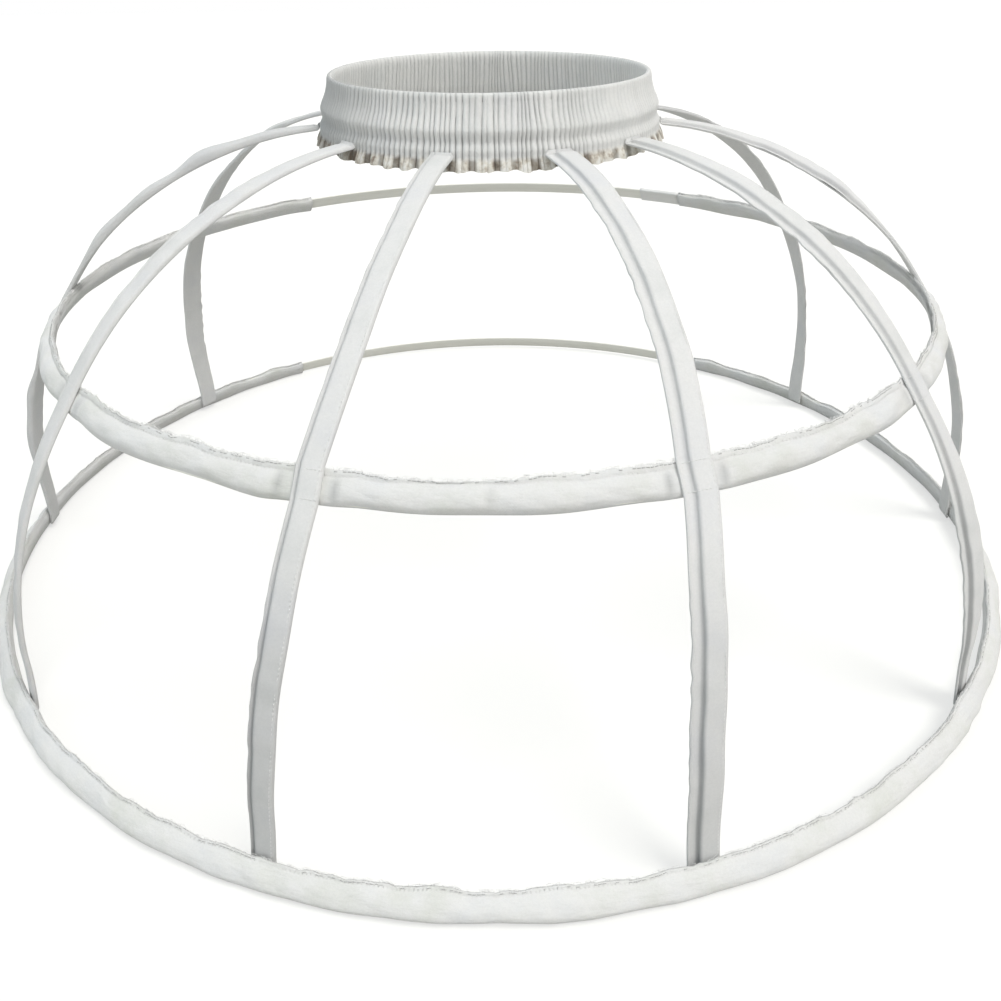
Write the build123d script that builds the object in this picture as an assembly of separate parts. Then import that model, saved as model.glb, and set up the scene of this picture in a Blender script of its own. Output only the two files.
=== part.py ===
"""A two-hoop crinoline cage: a gathered waistband, eight boned ribs and two boned hoops in cloth casings.

Millimetres and degrees. +Z is up, the front is -Y, and z = 0 is the floor under the hem hoop.
An azimuth is measured from the front, positive towards +X.
"""
from build123d import *
import os
from math import atan2, cos, degrees, dist, radians, sin

full_turn = 360.0

# Whole cage
waist_height = 368.0
hem_hoop_radius = 400.0
upper_hoop_radius = 322.0
upper_hoop_rise = 206.0
rib_slope_at_upper_hoop = 53.0

# Cloth and the small gaps between pieces that are sewn or slid together
cloth_thickness = 0.8
seat_gap = 0.3
sleeve_gap = 0.15

# Hoop bones and the joiner sleeves that close them
hoop_bone_height = 13.0
hoop_bone_thickness = 1.4
joiner_length = 42.0
joiner_wall = 0.9
bone_end_gap = 1.0

# Hoop casings: a loose tube round the bone, with its seam allowance standing on the outer top edge
casing_slack = 2.6
casing_corner = 1.4
casing_seam_height = 3.2
casing_seam_thickness = 1.2
bare_bone_arc = 71.0

# Ribs: tape folded round a flat bone, with a thin sewn margin along one side
rib_bone_width = 10.0
rib_bone_thickness = 0.9
rib_bone_inset = 1.5
rib_margin_width = 5.6
rib_margin_thickness = 1.2
upper_rib_runs = 7
lower_rib_runs = 6
rib_end_rise = 1.5

# Each rib's azimuths at the waist, halfway up, over the upper hoop, halfway down and at the hem
rib_azimuths = {
    "front_right": (21.3, 20.7, 18.9, 17.3, 16.8),
    "front_left": (-12.7, -13.3, -16.1, -17.7, -18.9),
    "right_front": (50.5, 51.0, 51.1, 51.7, 52.3),
    "left_front": (-48.8, -50.2, -51.0, -51.7, -52.6),
    "right_side": (86.0, 86.5, 87.0, 88.0, 89.0),
    "left_side": (-84.0, -85.3, -86.5, -88.0, -89.5),
    "right_back": (121.0, 122.2, 123.5, 124.2, 124.7),
    "left_back": (-120.0, -121.3, -122.5, -124.5, -126.2),
}

# Waistband: gathered cloth, stitched down in a seam above a raw frill
band_height = 35.5
seam_height = 4.0
frill_height = 8.5
waist_inner_radius = 108.0
waist_bore_length = 8.0
band_top_radius = 111.5
ridge_radius = 118.0
groove_radius = 116.4
seam_radius = 119.5
frill_radius = 122.5
frill_inner_radius = 119.0
gather_count = 60
gather_depth_share = 0.008
frill_depth_share = 0.012
groove_height_share = 0.27
ridge_height_share = 0.48

# Elastic in the waistband
elastic_thickness = 1.2
elastic_sides = 36
elastic_low_share = 0.34
elastic_high_share = 0.86

# Sizes that follow from those above
band_seam_z = waist_height - band_height
casing_channel_height = hoop_bone_height + 2 * seat_gap
casing_tube_height = casing_channel_height + 2 * cloth_thickness
casing_channel_depth = hoop_bone_thickness + seat_gap + casing_slack
casing_thickness = casing_channel_depth + 2 * cloth_thickness
casing_outer_offset = hoop_bone_thickness / 2 + seat_gap + cloth_thickness
casing_inner_offset = casing_outer_offset - casing_thickness
hem_bone_z = casing_tube_height / 2
upper_bone_z = hem_bone_z + upper_hoop_rise
casing_end_azimuth = (full_turn - bare_bone_arc) / 2
rib_thickness = rib_bone_thickness + seat_gap + 2 * cloth_thickness
rib_channel_width = rib_bone_width + 2 * seat_gap
rib_width = rib_margin_width + rib_channel_width + 2 * cloth_thickness


def closed_face(points):
    """A face from its corners."""
    return make_face(Polyline(points, close=True))


def meridian_face(points):
    """A face in the meridian plane from its (radius, height) corners."""
    return closed_face([(r, 0, z) for r, z in points])


def at_azimuth(shape, azimuth):
    """A shape built along +X, turned to its azimuth."""
    return shape.rotate(Axis.Z, azimuth - 90)


def leaned(points, radius, height, lean):
    """Section points (outwards, upwards) about a bone's middle, leaned inwards at the top."""
    turn = radians(lean)
    return [
        (radius + s * cos(turn) - h * sin(turn), height + s * sin(turn) + h * cos(turn))
        for s, h in points
    ]


def block(inner, outer, bottom, top):
    """The corners of a rectangular section."""
    return [(inner, bottom), (outer, bottom), (outer, top), (inner, top)]


def hoop(points, radius, height, lean, start_azimuth, arc):
    """A section carried round the cage's axis from one azimuth."""
    face = meridian_face(leaned(points, radius, height, lean))
    return at_azimuth(revolve(face, axis=Axis.Z, revolution_arc=arc), start_azimuth)


def hoop_casing(radius, height, lean):
    """The cloth tube round a hoop, open at its two ends behind."""
    half = casing_tube_height / 2
    inner = casing_inner_offset
    outer = casing_outer_offset
    seam = outer - casing_seam_thickness
    tube = [
        (inner, -half),
        (outer - casing_corner, -half),
        (outer, casing_corner - half),
        (outer, half + casing_seam_height),
        (seam, half + casing_seam_height),
        (seam, half),
        (inner, half),
    ]
    channel = block(
        inner + cloth_thickness,
        outer - cloth_thickness,
        cloth_thickness - half,
        half - cloth_thickness,
    )
    sweep_arc = (radius, height, lean, -casing_end_azimuth, 2 * casing_end_azimuth)
    return hoop(tube, *sweep_arc) - hoop(channel, *sweep_arc)


def joiner_arc(radius):
    return degrees(joiner_length / radius)


def joiner_start(radius):
    """The joiner begins just past the casing's right end."""
    return casing_end_azimuth + degrees(seat_gap / radius)


def hoop_bone(radius, height, lean):
    """The flat bone of a hoop; its ends face each other inside the joiner."""
    strip = block(
        -hoop_bone_thickness / 2,
        hoop_bone_thickness / 2,
        -hoop_bone_height / 2,
        hoop_bone_height / 2,
    )
    gap = degrees(bone_end_gap / radius)
    start = joiner_start(radius) + (joiner_arc(radius) + gap) / 2
    return hoop(strip, radius, height, lean, start, full_turn - gap)


def hoop_joiner(radius, height, lean):
    """A flat sleeve over the two ends of a hoop's bone."""
    half_depth = hoop_bone_thickness / 2 + sleeve_gap
    half_height = hoop_bone_height / 2 + sleeve_gap
    bore = block(-half_depth, half_depth, -half_height, half_height)
    body = block(
        -half_depth - joiner_wall,
        half_depth + joiner_wall,
        -half_height - joiner_wall,
        half_height + joiner_wall,
    )
    run = (radius, height, lean, joiner_start(radius), joiner_arc(radius))
    return hoop(body, *run) - hoop(bore, *run)


def arc_through(point, end, slope):
    """Centre and radius of the arc through two points that leaves the first at a slope."""
    inward = (-sin(radians(slope)), -cos(radians(slope)))
    run = (end[0] - point[0], end[1] - point[1])
    radius = (run[0] ** 2 + run[1] ** 2) / (2 * (run[0] * inward[0] + run[1] * inward[1]))
    return (point[0] + inward[0] * radius, point[1] + inward[1] * radius), radius


def arc_angle(centre, point):
    return degrees(atan2(point[1] - centre[1], point[0] - centre[0]))


def rib_points():
    """Where a rib's inner face leaves the waist, lies flat on the upper casing and enters the hem casing."""
    slope = radians(rib_slope_at_upper_hoop)
    stand_off = casing_outer_offset + seat_gap
    waist = (seam_radius + seat_gap, band_seam_z)
    flat = [
        (
            upper_hoop_radius + stand_off * sin(slope) - reach * cos(slope),
            upper_bone_z + stand_off * cos(slope) + reach * sin(slope),
        )
        for reach in (casing_tube_height / 2 + casing_seam_height, -casing_tube_height / 2)
    ]
    hem = (
        hem_hoop_radius + casing_inner_offset - seat_gap - rib_thickness,
        casing_tube_height + casing_seam_height,
    )
    return waist, flat[0], flat[1], hem


def rib_stations(azimuths):
    """Steps along a rib: an arc, a flat over the upper hoop, an arc and a lap inside the hem casing."""
    waist, flat_start, flat_end, hem = rib_points()
    upper_centre, upper_radius = arc_through(flat_start, waist, rib_slope_at_upper_hoop)
    lower_centre, lower_radius = arc_through(flat_end, hem, rib_slope_at_upper_hoop)
    flat_angle = 90 - rib_slope_at_upper_hoop
    upper_angles = (arc_angle(upper_centre, waist), flat_angle)
    lower_angles = (flat_angle, arc_angle(lower_centre, hem))
    upper = arc_stations(upper_centre, upper_radius, upper_angles, azimuths[:3], upper_rib_runs)
    lower = arc_stations(lower_centre, lower_radius, lower_angles, azimuths[2:], lower_rib_runs)
    return upper + lower + [(hem[0], rib_end_rise, 0, azimuths[-1])]


def between(low, high, share):
    return low + share * (high - low)


def bowed(values, share):
    """A value on the smooth bow through a start, a middle and an end."""
    start, middle, end = values
    bow = middle - (start + end) / 2
    return between(start, end, share) + 4 * bow * share * (1 - share)


def arc_stations(centre, radius, angles, azimuths, runs):
    """Even steps along one arc: radius, height, the angle that the tape faces and azimuth."""
    stations = []
    for step in range(runs + 1):
        share = step / runs
        angle = between(*angles, share)
        out = centre[0] + radius * cos(radians(angle))
        up = centre[1] + radius * sin(radians(angle))
        stations.append((out, up, angle, bowed(azimuths, share)))
    return stations


def shortened(stations, inset):
    """The same run with its two ends drawn back by a small inset."""
    kept = list(stations)
    for end, neighbour in ((0, 1), (-1, -2)):
        here = stations[end]
        there = stations[neighbour]
        share = inset / dist(here[:2], there[:2])
        kept[end] = tuple(between(low, high, share) for low, high in zip(here, there))
    return kept


def rib_run(section, stations):
    """A (sideways, outwards) section carried along a rib in short straight runs."""
    copies = []
    for out, up, angle, azimuth in stations:
        side = radians(azimuth)
        face = radians(angle)
        plane = Plane(
            origin=(out * sin(side), -out * cos(side), up),
            x_dir=(cos(side), sin(side), 0),
            z_dir=(sin(face) * sin(side), -sin(face) * cos(side), -cos(face)),
        )
        copies.append(plane * section)
    return loft(copies, ruled=True)


def rib_tape(stations):
    """Folded tape: a flat channel round the bone and a margin that slopes away on its left."""
    left = -rib_width / 2
    right = rib_width / 2
    crease = left + rib_margin_width
    outline = [
        (left, 0),
        (right, 0),
        (right, rib_thickness),
        (crease, rib_thickness),
        (left, rib_margin_thickness),
    ]
    channel = block(
        crease + cloth_thickness,
        right - cloth_thickness,
        cloth_thickness,
        rib_thickness - cloth_thickness,
    )
    return rib_run(closed_face(outline), stations) - rib_run(closed_face(channel), stations)


def rib_bone(stations):
    """The flat bone that keeps a rib in its curve, lying in the tape's channel."""
    middle = rib_margin_width / 2
    bottom = cloth_thickness + seat_gap / 2
    strip = block(
        middle - rib_bone_width / 2,
        middle + rib_bone_width / 2,
        bottom,
        bottom + rib_bone_thickness,
    )
    return rib_run(closed_face(strip), shortened(stations, rib_bone_inset))


def gathered_outline(radius, depth_share, height):
    """A closed outline whose corners go out to the radius and in by the gathers' depth."""
    step = radians(full_turn / (2 * gather_count))
    points = []
    for corner in range(2 * gather_count):
        reach = radius * (1 - depth_share * (corner % 2))
        points.append((reach * cos(corner * step), reach * sin(corner * step), height))
    return closed_face(points)


groove_z = band_seam_z + groove_height_share * band_height
ridge_z = band_seam_z + ridge_height_share * band_height
band_outside = [
    (frill_radius, band_seam_z - frill_height, frill_depth_share),
    (seam_radius, band_seam_z, gather_depth_share),
    (seam_radius, band_seam_z + seam_height, gather_depth_share),
    (groove_radius, groove_z, gather_depth_share),
    (ridge_radius, ridge_z, gather_depth_share),
    (band_top_radius, waist_height, gather_depth_share),
]
band_inside = [
    (frill_inner_radius, band_seam_z - frill_height),
    (waist_inner_radius, waist_height - waist_bore_length),
    (waist_inner_radius, waist_height),
]


def radius_at(stations, height):
    """The radius of a wall at a height, between its two nearest stations."""
    for low, high in zip(stations, stations[1:]):
        if low[1] <= height <= high[1]:
            share = (height - low[1]) / (high[1] - low[1])
            return low[0] + share * (high[0] - low[0])


def elastic_ring(clearance):
    """A leaning flat ring in the middle of the band's wall, grown all round by a clearance."""
    half = elastic_thickness / 2 + clearance
    outlines = {-1: [], 1: []}
    for share, side in ((elastic_low_share, -1), (elastic_high_share, 1)):
        height = band_seam_z + share * band_height
        valley = radius_at(band_outside, height) * (1 - gather_depth_share)
        middle = (valley + radius_at(band_inside, height)) / 2
        sag = middle * (1 - cos(radians(full_turn / (2 * elastic_sides))))
        for face in outlines:
            outline = RegularPolygon(middle + sag / 2 + face * half, elastic_sides)
            outlines[face].append(Pos(0, 0, height + side * clearance) * outline)
    return loft(outlines[1], ruled=True) - loft(outlines[-1], ruled=True)


def waistband_casing():
    """Gathered cloth with a plain inner wall and a hidden channel for the elastic."""
    body = loft([gathered_outline(r, share, z) for r, z, share in band_outside], ruled=True)
    bore = meridian_face([(0, band_inside[0][1])] + band_inside + [(0, waist_height)])
    return body - revolve(bore, axis=Axis.Z) - elastic_ring(seat_gap)


def build():
    """Every piece of the cage by its name."""
    upper_lean = 90 - rib_slope_at_upper_hoop
    pieces = {
        "waistband_casing": waistband_casing(),
        "waist_elastic": elastic_ring(0),
        "upper_hoop_casing": hoop_casing(upper_hoop_radius, upper_bone_z, upper_lean),
        "upper_hoop_bone": hoop_bone(upper_hoop_radius, upper_bone_z, upper_lean),
        "upper_hoop_joiner": hoop_joiner(upper_hoop_radius, upper_bone_z, upper_lean),
        "hem_hoop_casing": hoop_casing(hem_hoop_radius, hem_bone_z, 0),
        "hem_hoop_bone": hoop_bone(hem_hoop_radius, hem_bone_z, 0),
        "hem_hoop_joiner": hoop_joiner(hem_hoop_radius, hem_bone_z, 0),
    }
    for place, azimuths in rib_azimuths.items():
        stations = rib_stations(azimuths)
        pieces[f"{place}_rib_tape"] = rib_tape(stations)
        pieces[f"{place}_rib_bone"] = rib_bone(stations)
    return pieces


os.makedirs("parts", exist_ok=True)
for name, piece in build().items():
    export_step(piece, f"parts/{name}.step")
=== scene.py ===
"""Looks of a two-hoop crinoline cage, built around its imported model.

Metres and degrees. +Z is up, the front is -Y, and z = 0 is the floor under the hem hoop.
An azimuth is measured from the front, positive towards +X.
"""

from math import atan2, cos, degrees, pi, radians, sin

import bpy
import numpy as np
from mathutils import Matrix, Vector

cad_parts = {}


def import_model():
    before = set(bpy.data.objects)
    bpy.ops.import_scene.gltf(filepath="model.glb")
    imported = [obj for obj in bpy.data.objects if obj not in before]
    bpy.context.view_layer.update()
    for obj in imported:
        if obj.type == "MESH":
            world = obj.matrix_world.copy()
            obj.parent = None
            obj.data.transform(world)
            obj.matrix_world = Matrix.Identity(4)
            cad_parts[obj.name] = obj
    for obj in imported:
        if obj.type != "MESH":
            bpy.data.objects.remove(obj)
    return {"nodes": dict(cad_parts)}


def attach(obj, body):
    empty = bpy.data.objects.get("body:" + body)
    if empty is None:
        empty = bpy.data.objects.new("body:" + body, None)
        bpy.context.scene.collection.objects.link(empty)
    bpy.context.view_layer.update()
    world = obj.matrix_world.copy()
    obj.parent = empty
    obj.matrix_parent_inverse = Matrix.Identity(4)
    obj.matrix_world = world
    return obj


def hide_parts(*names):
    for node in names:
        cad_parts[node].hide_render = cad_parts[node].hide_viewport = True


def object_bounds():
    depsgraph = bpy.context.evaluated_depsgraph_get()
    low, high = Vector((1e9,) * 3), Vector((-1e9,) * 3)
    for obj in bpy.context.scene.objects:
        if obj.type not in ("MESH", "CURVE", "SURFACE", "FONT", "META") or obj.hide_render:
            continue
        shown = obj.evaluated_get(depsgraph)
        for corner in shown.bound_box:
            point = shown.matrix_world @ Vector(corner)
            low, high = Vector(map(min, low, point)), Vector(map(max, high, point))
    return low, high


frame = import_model()
cad_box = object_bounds()

# Whole cage
waist_height = cad_box[1].z
hem_hoop_radius = 0.400
upper_hoop_radius = 0.322
upper_hoop_rise = 0.206
rib_slope_at_upper_hoop = 53.0
seat_gap = 0.0003
cloth_thickness = 0.0005

# The hem hoop leans in at its top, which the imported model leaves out
hem_lean = 25.0
hem_lean_rise = 0.0002

# Hoop bones and joiners
hoop_bone_height = 0.013
hoop_bone_thickness = 0.0014
bone_edge_radius = 0.0005
bone_end_gap = 0.001
bone_rows = 361
joiner_length = 0.042
joiner_wall = 0.0009
joiner_rows = 13
sleeve_gap = 0.00015

# Hoop casings
casing_wall = 0.0008
casing_slack = 0.0026
casing_seam_height = 0.0032
casing_seam_thickness = 0.0012
casing_end_azimuth = 144.5
casing_end_tuck = 0.006
casing_sewn_reach = 0.020
casing_behind_azimuths = (85, 115)
casing_columns = 48

# Each casing's mesh rows, seed, puff, crease depth, sag depth and how low its belly hangs
casing_habits = {
    "upper": (420, 11, 0.0030, 0.0005, 0.0010, 0.0),
    "hem": (520, 12, 0.0058, 0.0003, 0.0005, 1.0),
}

# How far a casing's cloth strays from its tube
casing_dent_depth = 0.0007
casing_edge_wave = 0.0008
casing_edge_wave_behind = 0.0003
casing_fin_wave = 0.0005
casing_fray = 0.0004
hem_sag_limit = 1.1

# The upper casing's pinched join, and the stretch where its seam lies folded down
casing_join_azimuth = 0.5
casing_join_width = 0.0016
casing_join_depth = 0.0016
seam_fold_azimuth = -3.0
seam_fold_width = 6.0
seam_fold_share = 0.75

# Ribs
rib_bone_width = 0.010
rib_bone_thickness = 0.0009
rib_bone_start = 0.008
rib_bone_end_inset = 0.0015
rib_margin_width = 0.0056
rib_margin_thickness = 0.0012
rib_end_rise = 0.0075
rib_lap = 0.0012
rib_bend_radius = 0.002
rib_edge_wave = 0.0005
rib_crumple_depth = 0.0003
rib_fray = 0.0004
rib_shade_inset = 0.0006
rib_shade_width = 0.0013
rib_rows = 190
rib_columns = 40

# Each rib's azimuths at the waist, halfway up, over the upper hoop, halfway down and at the hem
rib_azimuths = {
    "front_right": (21.3, 20.7, 18.9, 17.1, 17.1),
    "front_left": (-13.6, -13.8, -16.1, -17.7, -18.9),
    "right_front": (50.5, 51.0, 51.1, 51.7, 52.3),
    "left_front": (-48.8, -50.2, -51.0, -51.7, -52.6),
    "right_side": (86.0, 86.5, 87.0, 88.0, 89.0),
    "left_side": (-84.0, -85.3, -86.5, -88.0, -89.5),
    "right_back": (121.0, 122.2, 123.5, 124.2, 124.7),
    "left_back": (-120.0, -121.3, -122.5, -124.5, -126.2),
}

# How far each rib twists above and below the upper hoop, how much of its margin lies open,
# how far it curls up into a roll and how much painted shade darkens its upper and lower runs
rib_habits = {
    "front_right": (-4.0, 5.0, 1.25, 0.0, 0.0, 0.20),
    "front_left": (4.0, -5.0, 0.58, 0.0, 0.0, 0.34),
    "right_front": (9.0, 18.0, 1.2, 0.1, 0.0, 0.10),
    "left_front": (-5.0, 6.0, 0.85, 0.1, 0.0, 0.12),
    "right_side": (16.0, -6.0, 0.7, 0.3, 0.0, 0.06),
    "left_side": (-7.0, 11.0, 0.5, 1.0, 0.20, 0.26),
    "right_back": (-16.0, 21.0, 0.6, 0.2, 0.05, 0.10),
    "left_back": (-14.0, 24.0, 1.0, 0.3, 0.12, 0.08),
}
first_rib_seed = 100

# Sewing threads
thread_radius = 0.0002
thread_wander = 0.0002
overlock_pitch = 0.0024
overlock_jitter_share = 0.18
stitch_length = 0.0019
stitch_pitch = 0.0028
seam_stitch_inset = 0.0016
seam_stitch_start = 0.004
cross_stitch_share = 0.8
cross_stitch_insets = (0.0014, 0.0024)
fibre_radius = 0.0001
fibre_reach = (0.0006, 0.0022)
fibre_root = 0.0004
fibre_spread = 0.0011
fibres_per_radius = 4200

# How far the rows of stitches across a rib lie in from the upper casing's edges and the waist seam
cross_row_insets = (0.0022, 0.0014, 0.001)

# Waistband
band_height = 0.0355
seam_height = 0.004
frill_height = 0.0085
waist_inner_radius = 0.108
band_top_radius = 0.1115
ridge_radius = 0.118
groove_radius = 0.1164
seam_radius = 0.1195
frill_radius = 0.1225
frill_inner_radius = 0.119
groove_height_share = 0.27
ridge_height_share = 0.48
gather_count = 206
gather_depth = 0.0019
gather_width_spread = 0.28
gather_slant = 0.0011
ruffle_count = 46
ruffle_depth = 0.0016
ruffle_drop = 0.0004
frill_drop = 0.0005
band_fullness = 1.45
band_rows = 78
band_seed = 31

# Where each gather has its points, as shares of its width
gather_shape = np.array([0.0, 0.1, 0.3, 0.5, 0.7, 0.9])

# Azimuths, up to 360, between which the band's gathers flatten out and its cloth takes painted
# shade
smooth_azimuths = (22, 46, 85, 115)
shaded_azimuths = (215, 260, 292, 338)

# Camera, light and ground
camera_distance = 0.719
camera_height = 0.4535
camera_azimuth = 0.8
camera_pitch = 31.2
camera_roll = -0.95
focal_pixels = 951.0
picture_pixels = 1001.0
principal_shift_pixels = 4.5
sensor_width_mm = 36.0
ambient_light = 0.42
floor_glow = 0.56
floor_colour = (0.46, 0.46, 0.44, 1)
floor_half_span = 6.0
floor_drop = 0.0002

# Each lamp's azimuth, elevation, strength, colour and spread
suns = {
    "key": (56, 60, 1.9, (1.0, 0.99, 0.965), 30),
    "fill": (-80, 35, 0.5, (0.70, 0.90, 1.0), 50),
    "front": (0, 10, 0.65, (1.0, 0.995, 0.985), 60),
    "back": (180, 25, 0.5, (1.0, 1.0, 1.0), 60),
}

# Sizes that follow
casing_tube_height = hoop_bone_height + 2 * (seat_gap + casing_wall)
casing_outer_offset = hoop_bone_thickness / 2 + seat_gap + casing_wall
casing_depth = hoop_bone_thickness + seat_gap + casing_slack + 2 * casing_wall
casing_inner_offset = casing_outer_offset - casing_depth
casing_top = casing_tube_height / 2 + casing_seam_height
hem_bone_z = casing_tube_height / 2
upper_bone_z = hem_bone_z + upper_hoop_rise
band_seam_z = waist_height - band_height
groove_z = band_seam_z + groove_height_share * band_height
ridge_z = band_seam_z + ridge_height_share * band_height
waist_round = 2 * pi * seam_radius
rib_thickness = rib_bone_thickness + seat_gap + 2 * casing_wall
rib_width = rib_margin_width + rib_bone_width + 2 * seat_gap + 2 * casing_wall
rib_crease = rib_margin_width - rib_width / 2

# Each hoop bone's radius, height and lean
hoops = {
    "upper": (upper_hoop_radius, upper_bone_z, 90 - rib_slope_at_upper_hoop),
    "hem": (hem_hoop_radius, hem_bone_z + hem_lean_rise, hem_lean),
}


# Shape helpers


def polar(azimuth, radius, height):
    """Points from azimuths, radii and heights that broadcast together."""
    turn = np.radians(azimuth)
    parts = np.broadcast_arrays(radius * np.sin(turn), -radius * np.cos(turn), height)
    return np.stack(parts, axis=-1)


def hoop_place(hoop, out, up):
    """Radius and height of a place outwards and upwards from a hoop bone's middle, in its lean."""
    radius, height, lean = hoops[hoop]
    turn = radians(lean)
    return radius + out * cos(turn) - up * sin(turn), height + out * sin(turn) + up * cos(turn)


def on_hoop(hoop, azimuth, out, up):
    """Points round a hoop, given outwards and upwards from its bone's middle, in its lean."""
    return polar(azimuth, *hoop_place(hoop, out, up))


def run_length(line):
    """How far along a line of points each one lies."""
    return np.concatenate([[0], np.cumsum(np.linalg.norm(np.diff(line, axis=0), axis=1))])


def curve_through(stations, count):
    """Evenly spaced points along a smooth line through a few stations."""
    stations = np.asarray(stations, float)
    before = 2 * stations[0] - stations[1]
    after = 2 * stations[-1] - stations[-2]
    knots = np.vstack([before, stations, after])
    fine = 24
    t = np.linspace(0, 1, fine, endpoint=False)[:, None]
    spans = []
    for a, b, c, d in zip(knots, knots[1:], knots[2:], knots[3:]):
        spans.append(
            b + t * (c - a) / 2
            + t**2 * (a - 2.5 * b + 2 * c - d / 2)
            + t**3 * (1.5 * (b - c) + (d - a) / 2)
        )
    line = np.vstack(spans + [stations[-1:]])
    length = run_length(line)
    even = np.linspace(0, length[-1], count)
    return np.stack([np.interp(even, length, axis) for axis in line.T], axis=1)


def ripple(rng, shortest, longest, slant=0.0, terms=6):
    """A smooth uneven wave over (along, across), about -1 to 1."""
    waves = rng.uniform(shortest, longest, terms)
    phases = rng.uniform(0, 2 * pi, terms)
    slants = rng.uniform(-slant, slant, terms)

    def height(along, across=0.0):
        total = 0.0
        for wave, phase, lean in zip(waves, phases, slants):
            total = total + np.sin(2 * pi * (along + lean * across) / wave + phase)
        return total / terms**0.5

    return height


def ease(value, start, end):
    """0 before start, 1 after end and smooth between them."""
    t = np.clip((value - start) / (end - start), 0, 1)
    return t * t * (3 - 2 * t)


def plateau(value, start, full, fading, end):
    """Rises from 0 at start to 1 at full, and falls from fading back to 0 at end."""
    return ease(value, start, full) * (1 - ease(value, fading, end))


def bell(value, width):
    """1 at zero, falling smoothly to both sides."""
    return np.exp(-((value / width) ** 2))


def mesh_object(name, points, faces, material, uv=None):
    """A smooth-shaded mesh piece that rides with the cage."""
    mesh = bpy.data.meshes.new(name)
    mesh.from_pydata(points.reshape(-1, 3).tolist(), [], faces)
    mesh.polygons.foreach_set("use_smooth", np.ones(len(mesh.polygons), bool))
    if uv is not None:
        layer = mesh.uv_layers.new(name="cloth")
        layer.uv.foreach_set("vector", uv.reshape(-1).astype(np.float32))
    mesh.materials.append(material)
    mesh.update()
    piece = bpy.data.objects.new(name, mesh)
    bpy.context.scene.collection.objects.link(piece)
    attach(piece, "root")
    return piece


def grid(name, points, material, flat, wrap_rows=False, wrap_columns=False, flip=False):
    """A piece from a grid of points; flat gives the cloth's own rows and columns in metres."""
    rows, columns = points.shape[:2]
    row = np.arange(rows if wrap_rows else rows - 1)
    column = np.arange(columns if wrap_columns else columns - 1)
    i, j = (index.ravel() for index in np.meshgrid(row, column, indexing="ij"))
    corners = [(i, j), (i + 1, j), (i + 1, j + 1), (i, j + 1)]
    if flip:
        corners.reverse()
    faces = np.stack([(a % rows) * columns + b % columns for a, b in corners], axis=1)
    along = np.linspace(0, flat[0], rows + 1 if wrap_rows else rows)
    across = np.linspace(0, flat[1], columns + 1 if wrap_columns else columns)
    uv = np.stack([np.stack([along[a], across[b]], axis=1) for a, b in corners], axis=1)
    return mesh_object(name, points, faces.tolist(), material, uv)


def paint_shade(piece, shade):
    """Keeps how much painted shade darkens each point of a cloth, for its material."""
    layer = piece.data.attributes.new("shade", "FLOAT", "POINT")
    layer.data.foreach_set("value", np.clip(shade, 0, 1).ravel().astype(np.float32))


def thicken(piece):
    """Gives a sheet the thickness of its cloth, on its inner side."""
    shell = piece.modifiers.new("cloth_thickness", "SOLIDIFY")
    shell.thickness = cloth_thickness
    shell.offset = -1


def threads(name, lines, normals, radius, material, sides):
    """One piece of many thin threads, each a line of points with its surface normals."""
    points = []
    faces = []
    first = 0
    turn = np.arange(sides) * 2 * pi / sides
    for line, normal in zip(lines, normals):
        run = np.gradient(line, axis=0)
        run /= np.linalg.norm(run, axis=1, keepdims=True)
        side = np.cross(run, normal)
        side /= np.linalg.norm(side, axis=1, keepdims=True)
        up = np.cross(side, run)
        ring = (
            line[:, None]
            + radius * np.cos(turn)[None, :, None] * side[:, None]
            + radius * np.sin(turn)[None, :, None] * up[:, None]
        )
        points.append(ring.reshape(-1, 3))
        for i in range(len(line) - 1):
            for k in range(sides):
                a = first + i * sides + k
                b = first + i * sides + (k + 1) % sides
                faces.append((a, b, b + sides, a + sides))
        last = first + (len(line) - 1) * sides
        faces.append(tuple(first + k for k in reversed(range(sides))))
        faces.append(tuple(last + k for k in range(sides)))
        first = last + sides
    return mesh_object(name, np.vstack(points), faces, material)


# Materials


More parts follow.
